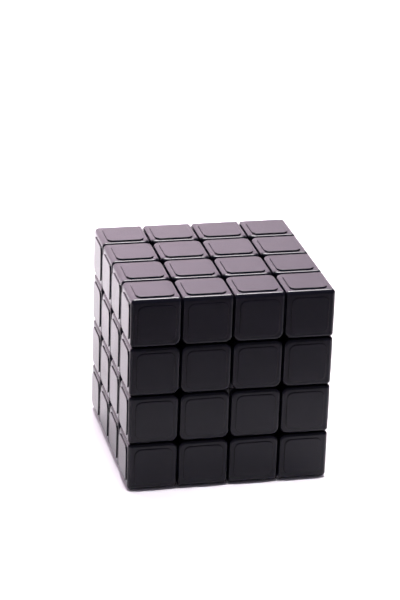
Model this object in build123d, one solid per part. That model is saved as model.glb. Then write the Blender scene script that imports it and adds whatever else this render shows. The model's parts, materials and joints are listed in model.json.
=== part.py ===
from build123d import *
import os
from itertools import product

# Twisty puzzle cube, four cubies along every edge, all in black plastic.
# Frame: origin at the centre of the core, +Z up, front face towards -Y, +X to the right.
# Lengths are in millimetres.
#
# The cube is cut into nested spherical layers around the core.  Inside each layer the
# pieces are bounded only by flat cuts at right angles to the axes, so every joint face is
# a plane or a sphere and any face, or the upper half, can turn without touching the rest.
# From the outside in: visible blocks, feet, cap flanges, feet of the centre cubies, ball.

# Whole cube
CUBE = 62.0                 # over the raised panels of two opposite faces
PITCH = CUBE / 4            # one cubie
PANEL_HEIGHT = 0.35         # how far a panel stands out of its cubie
FACE = CUBE / 2 - PANEL_HEIGHT   # centre of the cube to the rim around a panel
GAP = 0.15                  # each piece stands back this far from a cut, so a seam is twice this

# Visible blocks
SEAM_CORNER_RADIUS = 2.4    # corners of a cubie's face where four cubies meet
CUBE_EDGE_RADIUS = 1.3      # outer edges and corners of the whole cube
SEAM_EDGE_RADIUS = 0.95     # edges of a cubie along the seams
PANEL_SEAM_MARGIN = 1.6     # side of a cubie to its panel, along a seam
PANEL_EDGE_MARGIN = 2.3     # outer face of the cube to a panel beside it
PANEL_CORNER_RADIUS = 1.9
PANEL_EDGE_RADIUS = 0.15

# Radii of the spheres between the layers
BLOCK_SPHERE = 29.0         # visible blocks outside, feet inside
FOOT_SPHERE = 21.0          # feet outside, cap flanges and hidden edges inside
FLANGE_SPHERE = 18.0        # flanges outside, feet of the centre cubies inside
BALL_SPHERE = 15.0          # the ball that those feet slide on

# Flat cuts inside the layers, as distances from the centre of the cube
FOOT_CUT = 11.5             # outer layer of feet from the inner ones
FLANGE_CUT = 8.0            # half-width of a cap flange and half-length of a hidden edge
NECK_CUT = 4.25             # half-width of a cap's neck, and inner sides of the ball's blocks

# Cap sleeve, and the screw, washer and spring that hold the cap on the core
SLEEVE_RADIUS = 4.0
SLEEVE_BOTTOM = 9.3         # distance from the centre of the cube
SLEEVE_FLOOR = 1.2
SPRING_POCKET_RADIUS = 3.1
SHANK_RADIUS = 1.45
SHANK_TIP = 3.6
CORE_BORE_RADIUS = 1.5
CAP_BORE_RADIUS = 1.8
HEAD_RADIUS = 2.7
HEAD_HEIGHT = 1.5
HEAD_TOP = 20.3
HEAD_RECESS = (3.4, 0.7, 0.8)    # cross recess: length, width, depth
WASHER_RADIUS = 2.8
WASHER_THICKNESS = 0.5
WIRE_RADIUS = 0.25
SPRING_RADIUS = 2.45        # to the middle of the wire
SPRING_COILS = 6
CLEARANCE = 0.1             # between stacked pieces on a screw

# Core
CORE_BALL_RADIUS = 6.2
ARM_RADIUS = 3.8
ARM_END = SLEEVE_BOTTOM - 2 * GAP

FAR = CUBE                  # beyond every piece
QUARTER_TURNS = [Rot(0, 0, angle) for angle in (0, 90, 180, 270)]
FACE_TURNS = [Rot(0, 0, 0), Rot(180, 0, 0), Rot(90, 0, 0), Rot(-90, 0, 0), Rot(0, 90, 0), Rot(0, -90, 0)]
ORIENTATIONS = [turn * spin for turn, spin in product(FACE_TURNS, QUARTER_TURNS)]

SIDE_NAMES = ({-2: "left", 2: "right"}, {-2: "front", 2: "back"}, {-2: "bottom", 2: "top"})


def zone(x_range, y_range, z_range):
    """Box between three pairs of coordinates."""
    ranges = (x_range, y_range, z_range)
    middle = [(low + high) / 2 for low, high in ranges]
    return Pos(*middle) * Box(*[high - low for low, high in ranges])


def between_spheres(solid, inner, outer):
    """The part of a solid between two sphere radii around the centre of the cube."""
    return (solid & Sphere(outer)) - Sphere(inner)


def rounded_prism(low, high, axis, rounded):
    """Box with the given edges along one axis rounded, as the walls of a cubie are."""
    box = zone(*zip(low, high))
    others = [i for i in range(3) if i != axis]
    edges = [
        edge for edge in box.edges().filter_by((Axis.X, Axis.Y, Axis.Z)[axis])
        if tuple(round(tuple(edge.center())[i], 6) for i in others) in rounded
    ]
    return fillet(edges, SEAM_CORNER_RADIUS)


def visible_block(outer_axes):
    """Rounded block of one cubie, with a panel on each face at an outer side of the cube."""
    low = [PITCH + GAP if axis in outer_axes else GAP for axis in range(3)]
    high = [FACE if axis in outer_axes else PITCH - GAP for axis in range(3)]

    block = zone(*zip(low, high))
    for axis in outer_axes:
        others = [i for i in range(3) if i != axis]
        seam_sides = [[low[i]] if i in outer_axes else [low[i], high[i]] for i in others]
        corners = {tuple(round(value, 6) for value in pair) for pair in product(*seam_sides)}
        block &= rounded_prism(low, high, axis, corners)

    def outer_sides(point):
        return [i for i in outer_axes if tuple(point)[i] > FACE - 1e-3]

    cube_edges = [edge for edge in block.edges() if len(outer_sides(edge.center())) == 2]
    if cube_edges:
        block = fillet(cube_edges, CUBE_EDGE_RADIUS)

    def along_seam(edge):
        """True for an edge between a visible surface and a wall beside a seam."""
        start, end = edge.position_at(0), edge.position_at(1)
        near_skin = all(max(tuple(p)[i] for i in outer_axes) > FACE - CUBE_EDGE_RADIUS for p in (start, end))
        at_rounding = all(
            sum(tuple(p)[i] > FACE - CUBE_EDGE_RADIUS - 1e-3 for i in outer_axes) > 1 for p in (start, end)
        )
        is_arc = edge.geom_type != GeomType.LINE
        at_wall = any(
            all(abs(tuple(p)[i] - wall) < 1e-3 for p in (start, end, edge.position_at(0.5)))
            for i in range(3) for wall in ((low[i],) if i in outer_axes else (low[i], high[i]))
        )
        return near_skin and (at_wall or (is_arc and not at_rounding))

    block = fillet([edge for edge in block.edges() if along_seam(edge)], SEAM_EDGE_RADIUS)

    for axis in outer_axes:
        block += panel(low, high, axis, outer_axes)
    return block


def panel(low, high, axis, outer_axes):
    """Low raised square with round corners, on the face of a cubie that looks along an axis."""
    spans = []
    for i in range(3):
        if i == axis:
            spans.append((FACE - 1, CUBE / 2))
        elif i in outer_axes:
            spans.append((low[i] + PANEL_SEAM_MARGIN, CUBE / 2 - PANEL_EDGE_MARGIN))
        else:
            spans.append((low[i] + PANEL_SEAM_MARGIN, high[i] - PANEL_SEAM_MARGIN))
    direction = (Axis.X, Axis.Y, Axis.Z)[axis]
    plate = zone(*spans)
    plate = fillet(plate.edges().filter_by(direction), PANEL_CORNER_RADIUS)
    return fillet(plate.faces().sort_by(direction)[-1].edges(), PANEL_EDGE_RADIUS)


def corner_cubie():
    """Corner: three visible faces, and a foot that reaches under the wings beside it."""
    reach = (FOOT_CUT + GAP, FAR)
    foot = between_spheres(zone(reach, reach, reach), FOOT_SPHERE + GAP, BLOCK_SPHERE - GAP)
    return visible_block((0, 1, 2)) + foot


def wing_cubie():
    """Wing: two visible faces, and a foot that reaches under the two centres beside it."""
    along, across = (GAP, FOOT_CUT - GAP), (FOOT_CUT + GAP, FAR)
    own_foot = zone(along, across, across)
    foot = between_spheres(own_foot, FOOT_SPHERE + GAP, BLOCK_SPHERE - GAP)
    return (visible_block((1, 2)) - (Sphere(BLOCK_SPHERE + GAP) - own_foot)) + foot


def centre_cubie():
    """Centre: one visible face, and a stalk whose foot hooks under the flange of a cap."""
    across, up = (GAP, FOOT_CUT - GAP), (FOOT_CUT + GAP, FAR)
    stem, hook = (FLANGE_CUT + GAP, FOOT_CUT - GAP), (NECK_CUT + GAP, FOOT_CUT - GAP)
    own_stalk = zone(across, across, up)
    block = (visible_block((2,)) - (Sphere(BLOCK_SPHERE + GAP) - own_stalk)) - Sphere(FOOT_SPHERE + GAP)
    stalk = between_spheres(own_stalk, FOOT_SPHERE + GAP, BLOCK_SPHERE - GAP)
    neck = between_spheres(zone(stem, stem, up), FLANGE_SPHERE - 3 * GAP, FOOT_SPHERE + 3 * GAP)
    foot = between_spheres(zone(hook, hook, up), BALL_SPHERE + GAP, FLANGE_SPHERE - GAP)
    return block + stalk + neck + foot


def hidden_edge():
    """Inner edge behind a pair of wings, which keeps their feet from sinking in."""
    across = (FOOT_CUT + GAP, FAR)
    half_length, half_rib = FLANGE_CUT - GAP, NECK_CUT - GAP
    plate = zone((-half_length, half_length), across, across)
    rib = zone((-half_rib, half_rib), across, across)
    plate = between_spheres(plate, FLANGE_SPHERE + GAP, FOOT_SPHERE - GAP)
    return plate + between_spheres(rib, BALL_SPHERE + GAP, FOOT_SPHERE - 3 * GAP)


def cap():
    """Flanged cap at the end of a core arm; it holds the four centre cubies of one face."""
    flange_side, neck_side = FLANGE_CUT - GAP, NECK_CUT - GAP
    up = (FOOT_CUT + GAP, FAR)
    flange = between_spheres(
        zone((-flange_side, flange_side), (-flange_side, flange_side), up),
        FLANGE_SPHERE + GAP, FOOT_SPHERE - GAP,
    )
    neck = between_spheres(
        zone((-neck_side, neck_side), (-neck_side, neck_side), up),
        BALL_SPHERE + GAP, FOOT_SPHERE - 3 * GAP,
    )
    sleeve = upright(SLEEVE_RADIUS, SLEEVE_BOTTOM, FLANGE_SPHERE)
    pocket = upright(SPRING_POCKET_RADIUS, SLEEVE_BOTTOM + SLEEVE_FLOOR, FAR)
    return flange + neck + sleeve - pocket - upright(CAP_BORE_RADIUS, 0, FAR)


def upright(radius, bottom, top):
    """Cylinder on the Z axis between two heights."""
    return Pos(0, 0, (bottom + top) / 2) * Cylinder(radius, top - bottom)


def inner_corner():
    """One of the eight blocks that make up the ball around the core."""
    side = (NECK_CUT + GAP, BALL_SPHERE)
    return zone(side, side, side) & Sphere(BALL_SPHERE - GAP)


def screw():
    """Screw through a cap into its core arm, with a cross recess in the head."""
    head = upright(HEAD_RADIUS, HEAD_TOP - HEAD_HEIGHT, HEAD_TOP)
    head = fillet(head.edges().sort_by(Axis.Z)[-1], HEAD_HEIGHT / 3)
    shank = upright(SHANK_RADIUS, SHANK_TIP, HEAD_TOP - HEAD_HEIGHT / 2)
    shank = chamfer(shank.edges().sort_by(Axis.Z)[0], SHANK_RADIUS / 3)
    length, width, depth = HEAD_RECESS
    slot = Pos(0, 0, HEAD_TOP - depth / 2) * Box(length, width, depth)
    return head + shank - slot - Rot(0, 0, 90) * slot


def washer():
    """Washer between the screw head and the spring."""
    top = HEAD_TOP - HEAD_HEIGHT - CLEARANCE / 2
    bottom = top - WASHER_THICKNESS
    return upright(WASHER_RADIUS, bottom, top) - upright(CAP_BORE_RADIUS, bottom, top)


def spring():
    """Coil spring in the cap's pocket, which presses the cap towards the core."""
    bottom = SLEEVE_BOTTOM + SLEEVE_FLOOR + CLEARANCE + WIRE_RADIUS
    top = HEAD_TOP - HEAD_HEIGHT - WASHER_THICKNESS - 2 * CLEARANCE - WIRE_RADIUS
    coil = Helix(pitch=(top - bottom) / SPRING_COILS, height=top - bottom, radius=SPRING_RADIUS)
    wire = Plane(origin=coil @ 0, z_dir=coil % 0) * Circle(WIRE_RADIUS)
    return Pos(0, 0, bottom) * sweep(wire, path=coil, is_frenet=True)


def core():
    """Ball with six short arms, each bored for a screw."""
    body, bore = Sphere(CORE_BALL_RADIUS), upright(CORE_BORE_RADIUS, SHANK_TIP - 0.5, FAR)
    for turn in FACE_TURNS:
        body += turn * upright(ARM_RADIUS, 0, ARM_END)
    for turn in FACE_TURNS:
        body -= turn * bore
    return body


def all_around(solid, cell):
    """Copies of a solid in every cell that a turn of the whole cube can take it to."""
    copies = {}
    for turn in ORIENTATIONS:
        place = tuple(round(value) for value in (turn * Pos(*cell)).position)
        if place not in copies:
            copies[place] = turn * solid
    return copies


def side_name(cell):
    """Name of a cell after the sides of the cube that it is on, such as top_front."""
    return "_".join(SIDE_NAMES[i][cell[i]] for i in (2, 1, 0) if cell[i] in SIDE_NAMES[i])


def height_name(cell):
    """Upper or lower half of the cube."""
    return "upper" if cell[2] > 0 else "lower"


def node_of(kind, cell):
    """Node that holds the piece of one kind in one cell."""
    if kind == "inner_corners":
        return f"{kind}_{height_name(cell)}"
    if kind in ("centres", "wings") and abs(cell[2]) != 2:
        return f"{kind}_{side_name(cell)}_{height_name(cell)}"
    return f"{kind}_{side_name(cell)}"


# A cell is a position in the grid of cubies: 1 and 2 are the inner and outer places on
# each side of the centre, 0 is midway.
PLACED_PIECES = {
    "corner": (corner_cubie(), (2, 2, 2)),
    "wings": (wing_cubie(), (1, 2, 2)),
    "centres": (centre_cubie(), (1, 1, 2)),
    "hidden_edge": (hidden_edge(), (0, 2, 2)),
    "cap": (cap(), (0, 0, 2)),
    "inner_corners": (inner_corner(), (1, 1, 1)),
}
FASTENERS = {"screws": screw(), "washers": washer(), "springs": spring()}

nodes = {"core": [core()]}
for kind, (solid, cell) in PLACED_PIECES.items():
    for place, copy in all_around(solid, cell).items():
        nodes.setdefault(node_of(kind, place), []).append(copy)
for name, solid in FASTENERS.items():
    nodes[name] = list(all_around(solid, (0, 0, 2)).values())

os.makedirs("parts", exist_ok=True)
for name, solids in nodes.items():
    node = solids[0] if len(solids) == 1 else Compound(children=solids)
    node.label = name
    export_step(node, f"parts/{name}.step")
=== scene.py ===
"""A black twisty puzzle cube on a white studio sweep, as a product photographer would show it."""
import json
import math
from collections import namedtuple

import bpy
from mathutils import Matrix, Vector


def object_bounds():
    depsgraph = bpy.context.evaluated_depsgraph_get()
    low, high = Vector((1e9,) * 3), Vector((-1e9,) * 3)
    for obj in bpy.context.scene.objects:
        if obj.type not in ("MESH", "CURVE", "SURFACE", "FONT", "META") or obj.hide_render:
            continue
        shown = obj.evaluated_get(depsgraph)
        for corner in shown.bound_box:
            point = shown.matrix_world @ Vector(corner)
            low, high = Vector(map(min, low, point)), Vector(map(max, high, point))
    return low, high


MM = 0.001

# Camera, as it stood to the cube: turned from straight in front, tipped down, and rolled a
# little, with a long lens.  Its place is measured from the centre of the cube.
CAMERA_PLACE = Vector((-149.6, -617.5, 276.9)) * MM
CAMERA_TURN = math.radians(13.34)
CAMERA_TILT = math.radians(22.28)
CAMERA_ROLL = math.radians(1.98)
CAMERA_LENS = 134.9           # mm
CAMERA_SENSOR = 36            # mm, along the long side of the picture
CAMERA_CLIP_START = 0.05      # metres

# Studio: a white sweep, lit from above and behind, in a dim room.  Lengths are in metres.
SWEEP_WIDTH = 3.0
SWEEP_FRONT, SWEEP_BACK = -1.2, 0.9
SWEEP_RADIUS = 0.35
SWEEP_STEPS = 16              # flat steps that make up the curve
SWEEP_HEIGHT = 1.2
SWEEP_COLOUR = (0.88, 0.86, 0.88)
SWEEP_MOTTLE = 1.01           # its paler patches, against its colour
ROOM_COLOUR = (0.88, 0.83, 1.0)
ROOM_STRENGTH = 0.24

# Tilt is from straight down towards the backdrop, and spread is that of the light's grid, both in
# degrees.  Power is in watts.  Floor and rims each need their own brightness, so some lights
# reach only matt surfaces and one reaches only the gloss.
SoftLight = namedtuple("SoftLight", "name place tilt width depth spread power colour lights")
NEAR_WHITE = (1.0, 0.97, 0.99)
SOFT_LIGHTS = (
    SoftLight("overhead_strip", place=(0.30, 0.27, 0.60), tilt=-24, width=0.7, depth=0.12,
              spread=60, power=0.85, colour=NEAR_WHITE, lights="matt"),
    SoftLight("sweep_light", place=(0.05, 0.28, 0.60), tilt=0, width=0.8, depth=0.30,
              spread=56, power=2.5, colour=NEAR_WHITE, lights="matt"),
    SoftLight("backdrop_light", place=(-0.20, 0.30, 0.80), tilt=60, width=0.8, depth=0.40,
              spread=130, power=21, colour=(1.0, 0.82, 0.95), lights="all"),
    SoftLight("floor_fill", place=(0.08, -0.05, 0.40), tilt=0, width=0.3, depth=0.06,
              spread=24, power=0.125, colour=(1.0, 0.96, 1.0), lights="matt"),
    SoftLight("rim_strip", place=(0.15, 0.28, 0.60), tilt=-24, width=0.9, depth=0.25,
              spread=60, power=5.5, colour=NEAR_WHITE, lights="gloss"),
)

# Cubie plastic: satin black, a little smoother or rougher from piece to piece
CUBIE_BLACK = (0.0042, 0.0040, 0.0080)
DUST_GREY = (0.09, 0.085, 0.09)
DUST_COVER = 0.25             # how much of a speck's own grey shows
CUBIE_ROUGHNESS = (0.17, 0.20)
PIECE_ROUGHNESS = 0.02        # either way
SCUFF_ROUGHNESS = 0.06        # added
POLISH_ROUGHNESS = 0.05       # taken off
CUBIE_IOR = 1.26              # below solid plastic's, for the softer gloss of a satin finish

# Darkest and lightest shade of the other materials
INNER_BLACKS = (0.014, 0.014, 0.015), (0.022, 0.022, 0.023)
NYLONS = (0.50, 0.50, 0.47), (0.60, 0.60, 0.57)
ZINCS = (0.55, 0.55, 0.53), (0.70, 0.70, 0.68)


class Nodes:
    """Short calls for the shader nodes of one material."""

    def __init__(self, tree):
        self.tree = tree
        self.place = self.add("ShaderNodeTexCoord").outputs["Object"]

    def add(self, kind, **settings):
        node = self.tree.nodes.new(kind)
        for key, value in settings.items():
            setattr(node, key, value)
        return node

    def join(self, source, target):
        """Leads a socket to the target, or sets a plain number on it."""
        if isinstance(source, (int, float)):
            target.default_value = source
        else:
            self.tree.links.new(source, target)

    def noise(self, size_mm, detail=2.0, stretch=(1, 1, 1)):
        """Smooth noise with features of about one size."""
        mapping = self.add("ShaderNodeMapping")
        mapping.inputs["Scale"].default_value = stretch
        self.join(self.place, mapping.inputs["Vector"])
        texture = self.add("ShaderNodeTexNoise")
        texture.inputs["Scale"].default_value = 1 / (size_mm * MM)
        texture.inputs["Detail"].default_value = detail
        self.join(mapping.outputs["Vector"], texture.inputs["Vector"])
        return texture.outputs["Fac"]

    def spread(self, value, low, high, to_low=0.0, to_high=1.0):
        """Eases a value from one range to another, and holds it at the ends."""
        node = self.add("ShaderNodeMapRange", interpolation_type="SMOOTHSTEP")
        node.inputs["From Min"].default_value = low
        node.inputs["From Max"].default_value = high
        node.inputs["To Min"].default_value = to_low
        node.inputs["To Max"].default_value = to_high
        self.join(value, node.inputs["Value"])
        return node.outputs["Result"]

    def calc(self, operation, a, b):
        node = self.add("ShaderNodeMath", operation=operation)
        self.join(a, node.inputs[0])
        self.join(b, node.inputs[1])
        return node.outputs["Value"]

    def tint(self, factor, dark, light):
        node = self.add("ShaderNodeMix", data_type="RGBA")
        self.join(factor, node.inputs["Factor"])
        node.inputs["A"].default_value = (*dark, 1)
        node.inputs["B"].default_value = (*light, 1)
        return node.outputs["Result"]

    def bump(self, height, distance_mm, normal=None):
        node = self.add("ShaderNodeBump")
        node.inputs["Distance"].default_value = distance_mm * MM
        self.join(height, node.inputs["Height"])
        if normal is not None:
            self.join(normal, node.inputs["Normal"])
        return node.outputs["Normal"]

    def edge_mask(self, radius_mm):
        """One along edges, where handling polishes the plastic, and nought elsewhere."""
        bevel = self.add("ShaderNodeBevel", samples=4)
        bevel.inputs["Radius"].default_value = radius_mm * MM
        normal = self.add("ShaderNodeNewGeometry").outputs["Normal"]
        dot = self.add("ShaderNodeVectorMath", operation="DOT_PRODUCT")
        self.join(bevel.outputs["Normal"], dot.inputs[0])
        self.join(normal, dot.inputs[1])
        return self.spread(dot.outputs["Value"], 0.99, 0.85)


def new_material(name):
    """A new material, the helper for its nodes, and its main shader."""
    material = bpy.data.materials.new(name)
    material.use_nodes = True
    tree = material.node_tree
    return material, Nodes(tree), tree.nodes["Principled BSDF"]


def cubie_plastic():
    """Satin black plastic: fine moulded grain, slow waviness, handling marks and a little dust."""
    material, n, shader = new_material("satin_black_plastic")
    piece = n.add("ShaderNodeNewGeometry").outputs["Random Per Island"]

    grain = n.noise(size_mm=0.12, detail=3)
    waviness = n.noise(size_mm=16, detail=1)
    handling = n.spread(n.noise(size_mm=7, detail=4), 0.30, 0.80)
    scuffs = n.spread(n.noise(size_mm=0.5, detail=4, stretch=(0.08, 1, 1)), 0.66, 0.74)
    dust = n.spread(n.noise(size_mm=0.22, detail=1), 0.74, 0.80)
    polish = n.edge_mask(radius_mm=0.5)

    of_handling = n.spread(handling, 0, 1, *CUBIE_ROUGHNESS)
    of_piece = n.spread(piece, 0, 1, -PIECE_ROUGHNESS, PIECE_ROUGHNESS)
    rough = n.calc("ADD", of_handling, of_piece)
    rough = n.calc("ADD", rough, n.calc("MULTIPLY", scuffs, SCUFF_ROUGHNESS))
    rough = n.calc("SUBTRACT", rough, n.calc("MULTIPLY", polish, POLISH_ROUGHNESS))
    n.join(rough, shader.inputs["Roughness"])

    speck = n.calc("MULTIPLY", dust, DUST_COVER)
    n.join(n.tint(speck, CUBIE_BLACK, DUST_GREY), shader.inputs["Base Color"])
    shader.inputs["IOR"].default_value = CUBIE_IOR

    surface = n.bump(waviness, distance_mm=0.06)
    n.join(n.bump(grain, distance_mm=0.004, normal=surface), shader.inputs["Normal"])
    return material


def inner_plastic():
    """Plain black plastic of the hidden pieces, duller than the outside."""
    material, n, shader = new_material("inner_black_plastic")
    n.join(n.spread(n.noise(size_mm=3, detail=4), 0.3, 0.7, 0.42, 0.55), shader.inputs["Roughness"])
    n.join(n.tint(n.noise(size_mm=5), *INNER_BLACKS), shader.inputs["Base Color"])
    n.join(n.bump(n.noise(size_mm=0.15), distance_mm=0.006), shader.inputs["Normal"])
    return material


def core_plastic():
    """Light nylon of the core."""
    material, n, shader = new_material("core_nylon")
    n.join(n.tint(n.noise(size_mm=4), *NYLONS), shader.inputs["Base Color"])
    n.join(n.spread(n.noise(size_mm=2, detail=3), 0.3, 0.7, 0.38, 0.50), shader.inputs["Roughness"])
    n.join(n.bump(n.noise(size_mm=0.2), distance_mm=0.006), shader.inputs["Normal"])
    return material


def plated_steel():
    """Zinc-plated steel of the screws, washers and springs."""
    material, n, shader = new_material("plated_steel")
    shader.inputs["Metallic"].default_value = 1.0
    n.join(n.tint(n.noise(size_mm=1.2, detail=3), *ZINCS), shader.inputs["Base Color"])
    n.join(n.spread(n.noise(size_mm=0.4, detail=3), 0.3, 0.7, 0.22, 0.38), shader.inputs["Roughness"])
    return material


def sweep_material():
    """Matt white, with broad patches that are a little paler."""
    material, n, shader = new_material("white_sweep")
    pale = tuple(value * SWEEP_MOTTLE for value in SWEEP_COLOUR)
    n.join(n.tint(n.noise(size_mm=90), SWEEP_COLOUR, pale), shader.inputs["Base Color"])
    shader.inputs["Roughness"].default_value = 0.8
    shader.inputs["Specular IOR Level"].default_value = 0.2
    return material


def white_sweep(floor_z):
    """Floor that curves up into the backdrop."""
    curve_start = SWEEP_BACK - SWEEP_RADIUS
    profile = [(SWEEP_FRONT, 0.0), (curve_start, 0.0)]
    for step in range(1, SWEEP_STEPS + 1):
        angle = math.pi / 2 * step / SWEEP_STEPS
        profile.append((
            curve_start + SWEEP_RADIUS * math.sin(angle),
            SWEEP_RADIUS * (1 - math.cos(angle)),
        ))
    profile.append((SWEEP_BACK, SWEEP_HEIGHT))
    points = [(x, y, floor_z + z) for y, z in profile for x in (-SWEEP_WIDTH / 2, SWEEP_WIDTH / 2)]
    faces = [(2 * i, 2 * i + 1, 2 * i + 3, 2 * i + 2) for i in range(len(profile) - 1)]
    mesh = bpy.data.meshes.new("sweep")
    mesh.from_pydata(points, [], faces)
    mesh.polygons.foreach_set("use_smooth", [True] * len(faces))
    mesh.materials.append(sweep_material())
    sweep = bpy.data.objects.new("sweep", mesh)
    bpy.context.scene.collection.objects.link(sweep)


def add_soft_light(settings):
    lamp = bpy.data.lights.new(settings.name, "AREA")
    lamp.shape, lamp.size, lamp.size_y = "RECTANGLE", settings.width, settings.depth
    lamp.spread = math.radians(settings.spread)
    lamp.energy, lamp.color = settings.power, settings.colour
    light = bpy.data.objects.new(settings.name, lamp)
    light.location = settings.place
    light.rotation_euler.x = math.radians(settings.tilt)
    light.visible_glossy = settings.lights != "matt"
    light.visible_diffuse = settings.lights != "gloss"
    bpy.context.scene.collection.objects.link(light)


def dim_room():
    """Faint even light from all sides."""
    world = bpy.data.worlds.new("room")
    world.use_nodes = True
    background = world.node_tree.nodes["Background"]
    background.inputs["Color"].default_value = (*ROOM_COLOUR, 1)
    background.inputs["Strength"].default_value = ROOM_STRENGTH
    bpy.context.scene.world = world


def add_camera():
    """The camera, from its place, turn, tilt and roll."""
    turn, tilt, roll = CAMERA_TURN, CAMERA_TILT, CAMERA_ROLL
    ahead = Vector((math.sin(turn) * math.cos(tilt), math.cos(turn) * math.cos(tilt), -math.sin(tilt)))
    level = Vector((math.cos(turn), -math.sin(turn), 0))
    upright = level.cross(ahead)
    right = math.cos(roll) * level + math.sin(roll) * upright
    up = right.cross(ahead)
    facing = Matrix((right, up, -ahead)).transposed().to_4x4()
    camera = bpy.data.objects.new("camera", bpy.data.cameras.new("camera"))
    camera.data.sensor_width = CAMERA_SENSOR
    camera.data.lens = CAMERA_LENS
    camera.data.clip_start = CAMERA_CLIP_START
    camera.matrix_world = Matrix.Translation(CAMERA_PLACE) @ facing
    bpy.context.scene.collection.objects.link(camera)
    bpy.context.scene.camera = camera


def finish_pieces(frame):
    """Gives each CAD node the material of its slot in the record."""
    makers = {
        "cubie_black": cubie_plastic(),
        "inner_plastic": inner_plastic(),
        "core_plastic": core_plastic(),
        "steel": plated_steel(),
    }
    slots = {row["node"]: row["material_slot"] for row in frame["record"]["subparts"]}
    for name, piece in frame["nodes"].items():
        for slot in piece.material_slots:
            slot.material = makers[slots[name]]


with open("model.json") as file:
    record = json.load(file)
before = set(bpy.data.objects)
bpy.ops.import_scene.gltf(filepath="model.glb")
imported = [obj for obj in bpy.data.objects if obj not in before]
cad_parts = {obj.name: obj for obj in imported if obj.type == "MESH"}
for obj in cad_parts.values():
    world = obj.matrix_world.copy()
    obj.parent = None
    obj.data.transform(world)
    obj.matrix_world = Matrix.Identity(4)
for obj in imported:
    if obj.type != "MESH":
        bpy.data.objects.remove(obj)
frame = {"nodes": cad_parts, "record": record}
cad_low, cad_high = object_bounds()

finish_pieces(frame)
white_sweep(floor_z=cad_low.z)
for settings in SOFT_LIGHTS:
    add_soft_light(settings)
dim_room()
add_camera()

bpy.context.scene.view_settings.view_transform = "Standard"
bpy.context.scene.view_settings.look = "None"
